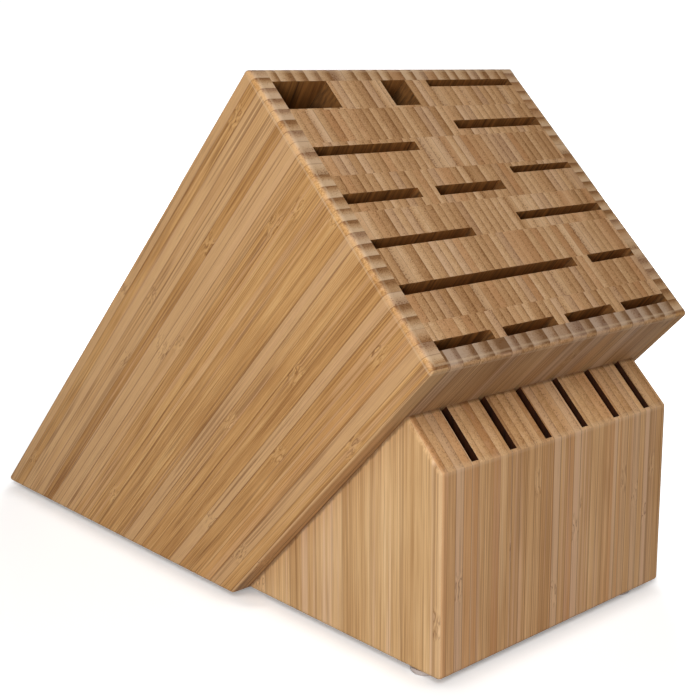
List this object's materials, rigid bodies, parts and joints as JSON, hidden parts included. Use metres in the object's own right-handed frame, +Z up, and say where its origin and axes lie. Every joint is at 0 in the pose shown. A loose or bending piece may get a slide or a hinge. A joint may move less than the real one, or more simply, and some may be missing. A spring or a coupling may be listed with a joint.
{
  "type": "knife block",
  "caption": "Empty bamboo knife block: a laminated slotted block leans back on a lower base with its own row of steak knife slots. It stands on rubber feet.",
  "frame": {"origin": "centre of the bounding box's bottom face, on the surface the feet stand on", "axes": "+X to the right seen from the front, +Y to the back along the block's depth, +Z up"},
  "size_m": [0.1788, 0.3706, 0.2579],
  "materials": {
    "bamboo_panel": "satin oiled bamboo, flat grain in narrow strips",
    "bamboo_board": "sanded bamboo, end grain in narrow strips",
    "bamboo_base": "satin oiled bamboo, upright strips",
    "bamboo_spacer": "satin oiled bamboo, upright strip",
    "foot_rubber": "clear grey silicone rubber"
  },
  "bodies": {
    "root": {"left_side_panel": "bamboo_panel", "right_side_panel": "bamboo_panel", "back_panel": "bamboo_panel", "under_panel": "bamboo_panel", "slot_board_1": "bamboo_board", "slot_board_2": "bamboo_board", "slot_board_3": "bamboo_board", "slot_board_4": "bamboo_board", "slot_board_5": "bamboo_board", "slot_board_6": "bamboo_board", "slot_board_7": "bamboo_board", "slot_board_8": "bamboo_board", "slot_board_9": "bamboo_board", "slot_board_10": "bamboo_board", "slot_board_11": "bamboo_board", "slot_board_12": "bamboo_board", "slot_board_13": "bamboo_board", "base_board_1": "bamboo_base", "base_board_2": "bamboo_base", "base_board_3": "bamboo_base", "base_board_4": "bamboo_base", "base_board_5": "bamboo_base", "base_board_6": "bamboo_base", "base_board_7": "bamboo_base", "base_spacer_1": "bamboo_spacer", "base_spacer_2": "bamboo_spacer", "base_spacer_3": "bamboo_spacer", "base_spacer_4": "bamboo_spacer", "base_spacer_5": "bamboo_spacer", "base_spacer_6": "bamboo_spacer", "foot_front_left": "foot_rubber", "foot_front_right": "foot_rubber", "foot_rear_left": "foot_rubber", "foot_rear_right": "foot_rubber"}
  },
  "joints": []
}
